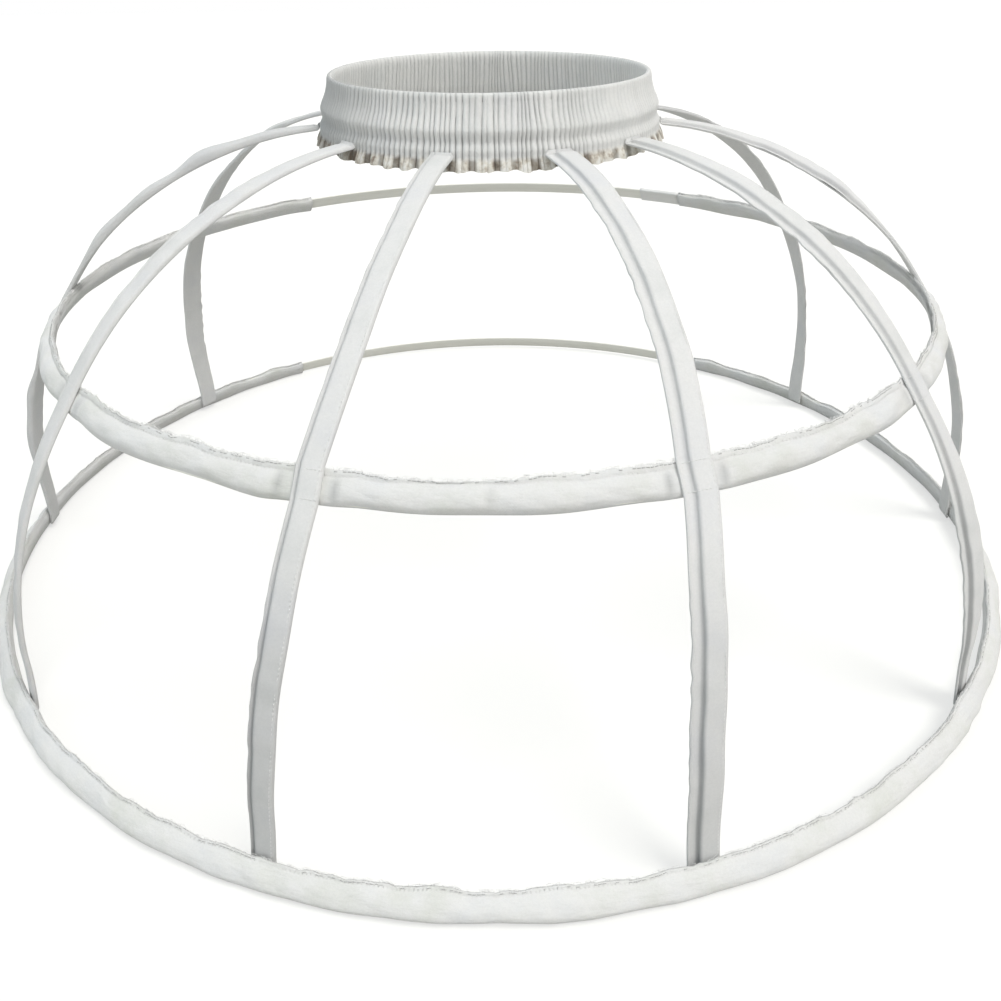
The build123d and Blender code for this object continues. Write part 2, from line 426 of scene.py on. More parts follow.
class Shader:
    """Builds one material's nodes."""

    def __init__(self, name):
        self.material = bpy.data.materials.new(name)
        self.material.use_nodes = True
        self.tree = self.material.node_tree
        self.surface = self.tree.nodes["Principled BSDF"]

    def feed(self, socket, value):
        """Links a socket to another node's output, or gives it a fixed value."""
        if isinstance(value, bpy.types.NodeSocket):
            self.tree.links.new(value, socket)
        else:
            socket.default_value = value

    def node(self, kind, sockets=(), **settings):
        made = self.tree.nodes.new(kind)
        for key, value in settings.items():
            setattr(made, key, value)
        for key, value in dict(sockets).items():
            self.feed(made.inputs[key], value)
        return made

    def math(self, operation, first, second=0.0):
        return self.node("ShaderNodeMath", {0: first, 1: second}, operation=operation).outputs[0]

    def noise(self, place, scale, detail=3.0, rough=0.55):
        sockets = {"Vector": place, "Scale": scale, "Detail": detail, "Roughness": rough}
        return self.node("ShaderNodeTexNoise", sockets).outputs["Fac"]

    def ramp(self, value, stops):
        made = self.node("ShaderNodeValToRGB", {"Fac": value})
        points = made.color_ramp.elements
        while len(points) < len(stops):
            points.new(1.0)
        for point, (place, colour) in zip(points, stops):
            point.position = place
            point.color = (*colour, 1)
        return made.outputs["Color"]

    def mix(self, share, first, second, blend="MIX"):
        """Blends two colours, which are a mix node's inputs 6 and 7 and its output 2."""
        sockets = {0: share, 6: first, 7: second}
        made = self.node("ShaderNodeMix", sockets, data_type="RGBA", blend_type=blend)
        return made.outputs[2]

    def scaled(self, place, scale):
        return self.node("ShaderNodeMapping", {"Vector": place, "Scale": scale}).outputs[0]

    def bump(self, height, depth, normal=None):
        sockets = {"Height": height, "Distance": depth, "Strength": 1.0}
        if normal is not None:
            sockets["Normal"] = normal
        return self.node("ShaderNodeBump", sockets).outputs["Normal"]

    def set(self, **sockets):
        for name, value in sockets.items():
            self.feed(self.surface.inputs[name.replace("_", " ")], value)


def woven(name, colours, pitch, weave_depth, fuzz_depth, crumple_depth, stretch):
    """Cloth: plain weave, fuzz, soft crumples, an uneven tint and painted shade."""
    shader = Shader(name)
    uv = shader.node("ShaderNodeUVMap", uv_map="cloth").outputs["UV"]
    place = shader.node("ShaderNodeTexCoord").outputs["Object"]
    parts = shader.node("ShaderNodeSeparateXYZ", {0: uv}).outputs
    warp = shader.math("SINE", shader.math("MULTIPLY", parts[0], 2 * pi / pitch))
    weft = shader.math("SINE", shader.math("MULTIPLY", parts[1], 2 * pi / pitch))
    weave = shader.math("MULTIPLY", warp, weft)
    crumple = shader.noise(shader.scaled(uv, (*stretch, 1)), 90.0, 4.0)
    fuzz = shader.noise(place, 2600.0, 2.0)
    speckle = shader.noise(place, 750.0, 3.0, 0.7)
    grain = shader.ramp(speckle, [(0.35, (0.955, 0.955, 0.955)), (0.65, (1, 1, 1))])
    tint = shader.noise(place, 28.0, 5.0, 0.6)
    colour = shader.ramp(tint, list(zip((0.3, 0.5, 0.7), colours)))
    yarn = shader.ramp(weave, [(0.0, (0.9, 0.9, 0.9)), (1.0, (1.0, 1.0, 1.0))])
    # Painted shade: each point's shade value darkens the cloth's colour
    shade = shader.node("ShaderNodeAttribute", attribute_name="shade").outputs["Fac"]
    painted_shade = shader.ramp(shade, [(0.0, (1, 1, 1)), (1.0, (0.40, 0.41, 0.42))])
    for layer in (grain, painted_shade, yarn):
        colour = shader.mix(1.0, colour, layer, "MULTIPLY")
    normal = None
    for height, depth in ((crumple, crumple_depth), (weave, weave_depth), (fuzz, fuzz_depth)):
        normal = shader.bump(height, depth, normal)
    shader.set(
        Base_Color=colour,
        Normal=normal,
        Roughness=0.85,
        Sheen_Weight=0.15,
        Sheen_Roughness=0.4,
        Specular_IOR_Level=0.2,
    )
    return shader


def darken_frill(shader):
    """Darkens the raw frill with beige and brown blotches, and with painted shade that turns brown.
    """
    place = shader.node("ShaderNodeTexCoord").outputs["Object"]
    height = shader.node("ShaderNodeSeparateXYZ", {0: place}).outputs[2]
    shade = shader.node("ShaderNodeAttribute", attribute_name="shade").outputs["Fac"]
    base = shader.surface.inputs["Base Color"].links[0].from_socket
    blotch = shader.noise(place, 170.0, 4.0, 0.6)
    frill_blotches = shader.ramp(blotch, [
        (0.32, (0.34, 0.29, 0.245)),
        (0.42, (0.54, 0.49, 0.42)),
        (0.50, (0.71, 0.68, 0.61)),
        (0.62, (0.84, 0.83, 0.79)),
    ])
    # Painted shade between the frill's ruffles and under the seam, darkening it towards brown
    painted_shade = shader.ramp(shade, [(0.1, (1, 1, 1)), (0.9, (0.26, 0.235, 0.215))])
    raw = shader.mix(1.0, frill_blotches, painted_shade, "MULTIPLY")
    reach = shader.node("ShaderNodeMapRange", {
        "Value": height,
        "From Min": band_seam_z + 0.0005,
        "From Max": band_seam_z - 0.0025,
    }).outputs["Result"]
    shader.set(Base_Color=shader.mix(reach, base, raw))


def plastic(name, colours, streak_scale, roughness):
    """Extruded plastic strip with faint lengthwise streaks."""
    shader = Shader(name)
    uv = shader.node("ShaderNodeUVMap", uv_map="cloth").outputs["UV"]
    place = shader.node("ShaderNodeTexCoord").outputs["Object"]
    streaks = shader.noise(shader.scaled(uv, (6, streak_scale, 1)), 1.0, 3.0)
    tint = shader.ramp(shader.noise(place, 22.0, 4.0), list(zip((0.3, 0.7), colours)))
    colour = shader.mix(0.5, tint, (*colours[1], 1))
    shade = shader.ramp(streaks, [(0.35, (0.93, 0.93, 0.92)), (0.65, (1, 1, 1))])
    shader.set(
        Base_Color=shader.mix(1.0, colour, shade, "MULTIPLY"),
        Normal=shader.bump(streaks, 0.00006),
        Roughness=roughness,
        Specular_IOR_Level=0.4,
    )
    return shader.material


def plain(name, colour, roughness):
    """One even colour, for threads."""
    shader = Shader(name)
    shader.set(Base_Color=(*colour, 1), Roughness=roughness)
    return shader.material


casing_cloth = woven(
    "casing_cloth",
    [(0.80, 0.81, 0.765), (0.88, 0.88, 0.865), (0.84, 0.85, 0.855)],
    pitch=0.0007,
    weave_depth=0.00006,
    fuzz_depth=0.00008,
    crumple_depth=0.0013,
    stretch=(0.6, 1.6),
).material
tape_cloth = woven(
    "rib_tape_cloth",
    [(0.80, 0.81, 0.80), (0.87, 0.87, 0.86), (0.83, 0.835, 0.845)],
    pitch=0.0006,
    weave_depth=0.00005,
    fuzz_depth=0.00003,
    crumple_depth=0.0003,
    stretch=(0.35, 1.4),
).material
band_shader = woven(
    "gathered_cloth",
    [(0.82, 0.83, 0.82), (0.90, 0.90, 0.88), (0.87, 0.875, 0.875)],
    pitch=0.0006,
    weave_depth=0.00005,
    fuzz_depth=0.00004,
    crumple_depth=0.0003,
    stretch=(1.5, 0.5),
)
darken_frill(band_shader)
band_cloth = band_shader.material
boning = plastic("boning_plastic", [(0.83, 0.825, 0.76), (0.88, 0.875, 0.82)], 900.0, 0.45)
joiner_plastic = plastic("joiner_plastic", [(0.76, 0.76, 0.75), (0.80, 0.80, 0.79)], 500.0, 0.4)
thread = plain("white_thread", (0.78, 0.78, 0.77), 0.6)
pale_thread = plain("pale_fibre", (0.92, 0.92, 0.91), 0.8)
# Dark thread for the needle line, standing in as painted shadow of its stitches
painted_shadow_thread = plain("painted_shadow_thread", (0.5, 0.5, 0.49), 0.7)


# Hoop casings


def sewn_share(azimuth, hoop):
    """1 where a rib is sewn to a casing, falling to 0 beside it."""
    radius = hoops[hoop][0]
    share = np.zeros_like(azimuth)
    for azimuths in rib_azimuths.values():
        rib = azimuths[2] if hoop == "upper" else azimuths[-1]
        away = np.abs(np.radians(azimuth - rib)) * radius - rib_width / 2
        share = np.maximum(share, 1 - ease(away, 0.0, casing_sewn_reach))
    return share


def casing_section(low):
    """A casing across: (outwards, upwards), from its seam's outer edge round to the inner one."""
    half = casing_tube_height / 2
    outer = casing_outer_offset
    inner = casing_inner_offset
    fin_in = outer - casing_seam_thickness
    return curve_through([
        (outer, casing_top),
        (outer, half + casing_seam_height * 0.3),
        (outer - 0.0005 * (1 - low), half - 0.0004),
        (outer - 0.0001, half * 0.6),
        (outer, 0.0),
        (outer - 0.0003 + low * 0.0008, -half * 0.6),
        (outer - 0.0017 + low * 0.0014, -half * 0.93),
        ((outer + inner) / 2, -half),
        (inner + 0.0012, -half * 0.93),
        (inner, -half * 0.5),
        (inner, half * 0.3),
        (inner + 0.0007, half * 0.75),
        (inner + 0.0022, half * 1.08),
        (fin_in - 0.0008, half + casing_seam_height * 0.6),
        (fin_in, casing_top),
    ], casing_columns)


def casing(hoop):
    """A puffed cloth tube, flat where ribs are sewn to it, with an overlocked seam on top."""
    rows, seed, fullness, crease_depth, sag_depth, low = casing_habits[hoop]
    rng = np.random.default_rng(seed)
    radius = hoops[hoop][0]
    half = casing_tube_height / 2
    section = casing_section(low)
    out, up = (np.tile(part, (rows, 1)) for part in section.T)
    azimuth = np.linspace(-casing_end_azimuth, casing_end_azimuth, rows)[:, None]
    along = np.radians(azimuth) * radius

    # Where the cloth is held and where it is free
    sewn = sewn_share(azimuth, hoop) * (1 - 0.75 * low)
    beside = sewn * (1 - sewn) * 4
    behind = ease(np.abs(azimuth), *casing_behind_azimuths)
    from_join = np.radians(azimuth - casing_join_azimuth) * radius
    join = (1 - low) * bell(from_join, casing_join_width)
    level = (up + low * 0.12 * half) / (half * (1.02 + 0.33 * low))
    middle = (casing_inner_offset + casing_outer_offset) / 2
    outside = ease(out, middle, casing_outer_offset * 0.8)
    belly = np.clip(1 - level**2, 0, 1) * outside
    lift = ease(up, -half, half)
    fin = ease(up, half, casing_top)

    # Waves, each between a shortest and a longest length
    swell = ripple(rng, 0.06, 0.18)
    crease = ripple(rng, 0.012, 0.05, 2.6)
    edge = ripple(rng, 0.03, 0.11)
    fray = ripple(rng, 0.006, 0.016)
    dent = ripple(rng, 0.016, 0.04, 1.4)
    hang = ripple(rng, 0.05, 0.14)

    puff = fullness * (0.88 + (0.2 - 0.11 * low) * swell(along)) * (1 - 0.85 * sewn)
    puff *= 1 - (0.4 + 0.5 * low) * behind
    out += belly * puff
    out += belly * crease_depth * (1 - sewn) * crease(along, up)
    out += belly * casing_dent_depth * beside * dent(along, up)
    out -= belly * casing_join_depth * join
    out += casing_fin_wave * fin * (1 - sewn) * edge(along + 0.05)
    edge_wave = casing_edge_wave + casing_edge_wave_behind * behind
    up += edge_wave * lift * (1 - sewn) * edge(along)
    sag = np.minimum(hang(along), hem_sag_limit) - hem_sag_limit if low else hang(along)
    up -= sag_depth * (1 - lift) * (1 - sewn) * sag
    from_end = casing_end_azimuth - np.abs(azimuth)
    ends = 1 - ease(from_end, 0.0, degrees(casing_end_tuck / radius))
    folded = seam_fold_share * (1 - low) * bell(azimuth - seam_fold_azimuth, seam_fold_width)
    up -= casing_seam_height * fin * np.maximum(np.maximum(0.7 * ends, 0.9 * behind), folded)
    up += casing_fray * fin * fray(along)

    length = float(along[-1, 0] - along[0, 0])
    width = float(run_length(section)[-1])
    surface = on_hoop(hoop, azimuth, out, up)
    piece = grid(f"{hoop}_casing_cloth", surface, casing_cloth, (length, width), flip=True)
    thicken(piece)
    # Painted shade beside the ribs, in the pinched join and on the casing's inner side
    rib_side = 0.5 * (1 - low) * ease(np.abs(sewn - 0.75), 0.25, 0.0)
    paint_shade(piece, (rib_side + 0.25 * join) * belly + 0.12 * (1 - outside))
    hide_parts(f"{hoop}_hoop_casing")
    overlock(hoop, azimuth[:, 0], out, up, rng)


def overlock(hoop, azimuth, out, up, rng):
    """Thread looped over a casing's seam, a broken needle line under it in dark thread as painted
    shadow, and loose fibres above.
    """
    radius = hoops[hoop][0]
    step = degrees(overlock_pitch / radius)
    first, last = azimuth[0] + step, azimuth[-1] - step
    seam_line = np.abs(up[len(azimuth) // 2, :10] - casing_tube_height / 2)
    needle_column = int(np.argmin(seam_line))
    back_column = out.shape[1] - 1 - needle_column
    fin_middle = -casing_seam_thickness / 2

    def edge_place(turns, column, away, rise):
        across, level = (np.interp(turns, azimuth, part[:, column]) for part in (out, up))
        return on_hoop(hoop, turns, across + away, level + rise)

    def outward(turns):
        return on_hoop(hoop, turns, 1.0, 0.0) - on_hoop(hoop, turns, 0.0, 0.0)

    loops = np.arange(first, last, step)
    jitter = rng.uniform(-overlock_jitter_share, overlock_jitter_share, len(loops)) * step
    wander = rng.uniform(-thread_wander, thread_wander, len(loops))
    crest_rise = thread_radius + np.abs(wander)
    loop_line = np.stack([
        edge_place(loops + jitter, needle_column, thread_radius, wander),
        edge_place(loops + 0.25 * step + jitter, 0, fin_middle, crest_rise),
        edge_place(loops + 0.5 * step, back_column, -thread_radius, wander),
        edge_place(loops + 0.75 * step, 0, fin_middle, thread_radius),
    ], axis=1).reshape(-1, 3)
    loop_normal = outward(np.repeat(loops, 4))
    piece = threads(f"{hoop}_overlock_loops", [loop_line], [loop_normal], thread_radius, thread, 4)

    lines = []
    normals = []
    worn = ripple(rng, 0.02, 0.09)
    for turn in loops:
        if rng.uniform() < 0.4 + 0.45 * worn(np.radians(turn) * radius):
            continue
        spots = turn + step * np.array([0.05, 0.42, 0.8])
        drop = rng.uniform(-thread_wander, thread_wander)
        line = edge_place(spots, 1, thread_radius * 0.4, drop)
        normal = outward(spots)
        line[1] += normal[1] * thread_radius
        lines.append(line)
        normals.append(normal)
    # The needle line's dark thread is painted shadow
    name = f"{hoop}_overlock_needle_line"
    piece = threads(name, lines, normals, thread_radius * 1.1, painted_shadow_thread, 4)

    lines = []
    normals = []
    for turn in rng.uniform(first, last, int(fibres_per_radius * radius)):
        reach = rng.uniform(*fibre_reach)
        spots = turn + step * np.array([0.0, rng.uniform(-0.5, 0.5), rng.uniform(-1.6, 1.6)])
        rise = np.array([-fibre_root, reach * 0.6, reach * rng.uniform(0.7, 1.0)])
        spread = rng.uniform(-fibre_spread, fibre_spread)
        away = fin_middle + np.array([0.0, 0.2, 1.0]) * spread
        lines.append(edge_place(spots, 0, away, rise))
        normals.append(outward(spots))
    piece = threads(f"{hoop}_seam_fibres", lines, normals, fibre_radius, pale_thread, 3)


# Hoop bones and joiners


def rounded_block(half_depth, half_height, corner, steps=3):
    """A closed rounded section: (outwards, upwards)."""
    points = []
    quarters = ((1, 1, 0), (-1, 1, 90), (-1, -1, 180), (1, -1, 270))
    for side, level, start in quarters:
        for turn in np.radians(np.linspace(start, start + 90, steps + 1)):
            points.append((
                side * (half_depth - corner) + corner * cos(turn),
                level * (half_height - corner) + corner * sin(turn),
            ))
    return np.array(points)


def joiner_start(radius):
    """Azimuth where a joiner begins, just past its casing's end."""
    return casing_end_azimuth + degrees(seat_gap / radius)


def hoop_bone(hoop):
    """A flat strip bent into a hoop, with its ends meeting inside the joiner."""
    radius = hoops[hoop][0]
    gap = degrees(bone_end_gap / radius)
    start = joiner_start(radius) + (degrees(joiner_length / radius) + gap) / 2
    section = rounded_block(hoop_bone_thickness / 2, hoop_bone_height / 2, bone_edge_radius)
    azimuth = np.linspace(start, start + 360 - gap, bone_rows)[:, None]
    surface = on_hoop(hoop, azimuth, section[None, :, 0], section[None, :, 1])
    flat = (2 * pi * radius, 2 * (hoop_bone_height + hoop_bone_thickness))
    piece = grid(f"{hoop}_bone_strip", surface, boning, flat, wrap_columns=True, flip=True)
    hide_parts(f"{hoop}_hoop_bone")


def hoop_joiner(hoop):
    """A flat sleeve over the bone's two ends."""
    radius = hoops[hoop][0]
    start = joiner_start(radius)
    azimuth = np.linspace(start, start + degrees(joiner_length / radius), joiner_rows)
    half_depth = hoop_bone_thickness / 2 + sleeve_gap
    half_height = hoop_bone_height / 2 + sleeve_gap
    bore = rounded_block(half_depth, half_height, bone_edge_radius)
    body = rounded_block(half_depth + joiner_wall, half_height + joiner_wall, 2 * bone_edge_radius)
    outside = on_hoop(hoop, azimuth[:, None], body[None, :, 0], body[None, :, 1])
    inside = on_hoop(hoop, azimuth[::-1, None], bore[None, :, 0], bore[None, :, 1])
    surface = np.concatenate([outside, inside])
    flat = (2 * joiner_length, 2 * hoop_bone_height)
    wraps = {"wrap_rows": True, "wrap_columns": True}
    piece = grid(f"{hoop}_joiner_sleeve", surface, joiner_plastic, flat, flip=True, **wraps)
    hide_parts(f"{hoop}_hoop_joiner")


# Ribs


def arc_through(point, end, slope):
    """Centre and radius of the arc through two points that leaves the first at a slope."""
    inward = (-sin(radians(slope)), -cos(radians(slope)))
    run = (end[0] - point[0], end[1] - point[1])
    radius = (run[0] ** 2 + run[1] ** 2) / (2 * (run[0] * inward[0] + run[1] * inward[1]))
    return (point[0] + inward[0] * radius, point[1] + inward[1] * radius), radius


def arc_points(centre, radius, start, end, count):
    turn = np.radians(np.linspace(start, end, count))
    return np.stack([centre[0] + radius * np.cos(turn), centre[1] + radius * np.sin(turn)], axis=1)


def arc_angle(centre, point):
    return degrees(atan2(point[1] - centre[1], point[0] - centre[0]))


def rib_line(count):
    """A rib's inner face in its meridian plane, from the waistband into the hem casing.

    Gives its points as (radius, height), how far along each lies, and how far along are the
    waist seam, the upper casing's two edges and the hem casing's top.
    """
    stand_off = casing_outer_offset + seat_gap
    inside = casing_inner_offset - seat_gap - rib_thickness
    waist = (seam_radius, band_seam_z)
    flat_start = hoop_place("upper", stand_off, casing_top)
    flat_end = hoop_place("upper", stand_off, -casing_tube_height / 2)
    hem = hoop_place("hem", inside, casing_top)
    upper_centre, upper_radius = arc_through(flat_start, waist, rib_slope_at_upper_hoop)
    lower_centre, lower_radius = arc_through(flat_end, hem, rib_slope_at_upper_hoop)
    flat_angle = 90 - rib_slope_at_upper_hoop
    bend = degrees(rib_bend_radius / upper_radius)
    start = arc_angle(upper_centre, waist) - bend
    hem_angle = arc_angle(lower_centre, hem)
    corner = 1 - cos(radians(45))
    stations = np.vstack([
        (waist[0], waist[1] + rib_lap + rib_bend_radius),
        (waist[0], waist[1] + rib_bend_radius),
        (waist[0] + rib_bend_radius * corner, waist[1] + rib_bend_radius * corner),
        arc_points(upper_centre, upper_radius, start, flat_angle, 14),
        arc_points(lower_centre, lower_radius, flat_angle, hem_angle, 12)[:-1],
        hoop_place("hem", inside, hem_bone_z / 2),
        hoop_place("hem", inside, rib_end_rise - hem_bone_z),
    ])
    line = curve_through(stations, count)
    length = run_length(line)
    marks = []
    for spot in (waist, flat_start, flat_end, hem):
        nearest = np.argmin(np.linalg.norm(line - np.array(spot), axis=1))
        marks.append(length[nearest])
    return line, length, marks


def rib_section(open_share):
    """The folded tape across: (sideways, outwards), from its margin's under edge to the top one."""
    right = rib_width / 2
    left = rib_crease - rib_margin_width * open_share
    edge = rib_thickness * 0.22
    lip = min(edge, rib_margin_width * open_share * 0.2)
    return curve_through([
        (left, rib_margin_thickness * 0.5),
        (left + lip, 0.0),
        (rib_crease, 0.0),
        (right - edge, 0.0),
        (right, rib_thickness * 0.5),
        (right - edge, rib_thickness * 0.96),
        (rib_margin_width / 2, rib_thickness * 1.06),
        (rib_crease + edge, rib_thickness * 1.0),
        (rib_crease + edge * 0.1, rib_thickness * 0.62),
        (rib_crease - lip, rib_margin_thickness * 0.55),
        (left + 2.4 * lip, rib_margin_thickness * 0.75),
        (left + 1.4 * lip, rib_margin_thickness * 1.3),
        (left + 0.5 * lip, rib_margin_thickness * 1.4),
        (left, rib_margin_thickness * 0.9),
    ], rib_columns)


def bowed(values, share):
    """Values on the smooth bow through a start, a middle and an end."""
    start, middle, end = values
    bow = middle - (start + end) / 2
    return start + share * (end - start) + 4 * bow * share * (1 - share)


class Rib:
    """One rib's line in space, with the way it twists, that its tape, bone and stitches share."""

    def __init__(self, place, seed):
        self.place = place
        self.rng = np.random.default_rng(seed)
        line, self.length, self.marks = rib_line(rib_rows)
        waist, flat_start, flat_end, hem = self.marks
        upper = np.clip((self.length - waist) / (flat_start - waist), 0, 1)
        lower = np.clip((self.length - flat_end) / (hem - flat_end), 0, 1)
        azimuths = rib_azimuths[place]
        azimuth = np.where(lower > 0, bowed(azimuths[2:], lower), bowed(azimuths[:3], upper))
        above, below, self.open_share, self.curl, *self.painted_run_shade = rib_habits[place]
        self.lower = lower
        self.offset = (self.open_share - 1) * rib_margin_width / 2
        run = np.gradient(line, axis=0)
        run /= np.linalg.norm(run, axis=1, keepdims=True)
        self.points = polar(azimuth, line[:, 0], line[:, 1])
        self.outward = polar(azimuth, -run[:, 1], run[:, 0])
        self.right = polar(azimuth + 90, 1.0, np.zeros(rib_rows))
        free_above, free_below = (np.sin(pi * share) ** 2 for share in (upper, lower))
        self.free = free_above + free_below
        self.twist = np.radians(above * free_above + below * free_below)
        self.edge_wave = ripple(self.rng, 0.04, 0.15)

    def surface(self, across, out):
        """Points from places across the tape and outwards of its inner face, row by row."""
        turn = self.twist[:, None]
        across = across + self.offset
        level = out - rib_thickness / 2
        side = across * np.cos(turn) - level * np.sin(turn)
        side = side + rib_edge_wave * self.free[:, None] * self.edge_wave(self.length)[:, None]
        up = across * np.sin(turn) + level * np.cos(turn) + rib_thickness / 2
        return (
            self.points[:, None]
            + side[..., None] * self.right[:, None]
            + up[..., None] * self.outward[:, None]
        )


def rib_tape(rib):
    """A folded tape, thinned where it is lapped at the waist, curled, crumpled and frayed."""
    section = rib_section(rib.open_share)
    across, out = (np.tile(part, (rib_rows, 1)) for part in section.T)
    along = rib.length[:, None]
    free = rib.free[:, None]
    lap_end = rib_lap + rib_bend_radius * pi / 2
    rounding = np.clip(1 - along / (2 * rib_lap), 0, 1)
    across *= 1 - 0.22 * rounding**2
    out *= 0.5 + 0.5 * ease(along, 0.2 * lap_end, 1.6 * lap_end)
    rolled = np.clip(1 - ((across - rib_margin_width / 2) / (rib_width / 2)) ** 2, 0, 1)
    uneven = 0.8 + 0.35 * rib.edge_wave(along + 0.2)
    out += out * rib.curl * np.sqrt(free) * (0.5 + 1.1 * rolled) * uneven
    top = ease(out, rib_margin_thickness * 0.6, rib_margin_thickness * 1.1)
    left = 1 - ease(across, -rib_width * 0.45, -rib_width * 0.2)
    crumple = ripple(rib.rng, 0.014, 0.07, 1.2)
    frayed = ripple(rib.rng, 0.009, 0.03)
    out += rib_crumple_depth * free * top * crumple(along, across)
    across += rib_fray * free * left * frayed(along)
    flat = (rib.length[-1], run_length(section)[-1])
    surface = rib.surface(across, out)
    piece = grid(f"{rib.place}_rib_tape_cloth", surface, tape_cloth, flat, flip=True)
    # Painted shade along the margin's crease, deeper on the lower run
    upper_side = section[:, 1] > rib_margin_thickness / 4
    beside = bell(section[:, 0] - rib_crease + rib_shade_inset, rib_shade_width) * upper_side
    # Painted shade over the rib's upper and lower runs
    painted_run_shade = np.interp(ease(rib.lower, 0.0, 0.5), (0, 1), rib.painted_run_shade)[:, None]
    paint_shade(piece, beside * (0.35 + 0.35 * rib.lower[:, None]) + painted_run_shade)
    thicken(piece)
    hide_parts(f"{rib.place}_rib_tape")


def rib_bone(rib):
    """The flat bone inside a tape, which twists with it."""
    half_depth = rib_bone_thickness / 2
    section = rounded_block(half_depth, rib_bone_width / 2, half_depth * 0.6)
    start = rib.marks[0] + rib_bone_start
    end = rib.length[-1] - rib_bone_end_inset
    inside = (rib.length > start) & (rib.length < end)
    across = np.tile(rib_margin_width / 2 + section[:, 1], (rib_rows, 1))
    out = np.tile(rib_thickness / 2 + section[:, 0], (rib_rows, 1))
    surface = rib.surface(across, out)[inside]
    flat = (float(np.ptp(rib.length[inside])), 2 * (rib_bone_width + rib_bone_thickness))
    piece = grid(f"{rib.place}_rib_bone_strip", surface, boning, flat, wrap_columns=True)
    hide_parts(f"{rib.place}_rib_bone")


def rib_stitches(rib):
    """Stitches down a tape's folded edge, and across it at the upper casing and at the waist."""
    lines = []
    normals = []
    waist, flat_start, flat_end, hem = rib.marks
    column = np.ones((rib_rows, 1))
    seam_across = rib_width / 2 - seam_stitch_inset
    seam = rib.surface(column * seam_across, column * rib_thickness * 0.98)[:, 0]
    for start in np.arange(waist + seam_stitch_start, hem, stitch_pitch):
        spots = start + stitch_length * np.array([0.0, 0.5, 1.0])
        line, normal = (
            np.stack([np.interp(spots, rib.length, axis) for axis in part.T], axis=1)
            for part in (seam, rib.outward)
        )
        line[1] += normal[1] * thread_radius * 0.6
        lines.append(line)
        normals.append(normal)

    section = rib_section(rib.open_share)
    top = section[np.argmax(section[:, 0]):]
    top = top[np.argsort(top[:, 0])]
    first = top[0, 0] + cross_stitch_insets[0]
    last = rib_width / 2 - cross_stitch_insets[1]
    upper_inset, lower_inset, waist_inset = cross_row_insets
    for place in (flat_start + upper_inset, flat_end - lower_inset, waist - waist_inset):
        row = int(np.argmin(np.abs(rib.length - place)))
        outward = rib.outward[row]
        for start in np.arange(first, last, stitch_pitch * cross_stitch_share):
            spots = start + stitch_length * cross_stitch_share * np.array([0.0, 0.5, 1.0])
            level = np.interp(spots, top[:, 0], top[:, 1]) + thread_radius * 0.1
            line = rib.points[row] + spots[:, None] * rib.right[row] + level[:, None] * outward
            line[1] += outward * thread_radius * 0.5
            lines.append(line)
            normals.append(np.tile(outward, (3, 1)))
    piece = threads(f"{rib.place}_rib_stitches", lines, normals, thread_radius, thread, 4)


# Waistband


def band_section():
    """The band across: (radius, height), from its frill's outer edge over the top to the inner."""
    wall = band_top_radius - waist_inner_radius
    frill_edge_z = band_seam_z - frill_height * 0.9
    return curve_through([
        (frill_radius - 0.0008, frill_edge_z),
        (frill_radius - 0.0014, band_seam_z - frill_height * 0.5),
        (seam_radius, band_seam_z),
        (seam_radius - 0.0002, band_seam_z + seam_height),
        (groove_radius + 0.0008, groove_z - 0.0014),
        (ridge_radius - 0.0005, ridge_z - 0.0050),
        (ridge_radius, ridge_z - 0.0022),
        (ridge_radius - 0.0013, ridge_z + 0.0012),
        (band_top_radius + 0.0026, ridge_z + 0.0065),
        (band_top_radius + 0.0009, ridge_z + 0.0122),
        (band_top_radius, waist_height - 0.0012),
        (band_top_radius - wall / 2, waist_height),
        (waist_inner_radius, waist_height - 0.0018),
        (waist_inner_radius, waist_height - 0.008),
        (waist_inner_radius + 0.0045, band_seam_z + seam_height),
        (frill_inner_radius - 0.0022, band_seam_z - 0.001),
        (frill_inner_radius, frill_edge_z),
    ], band_rows)


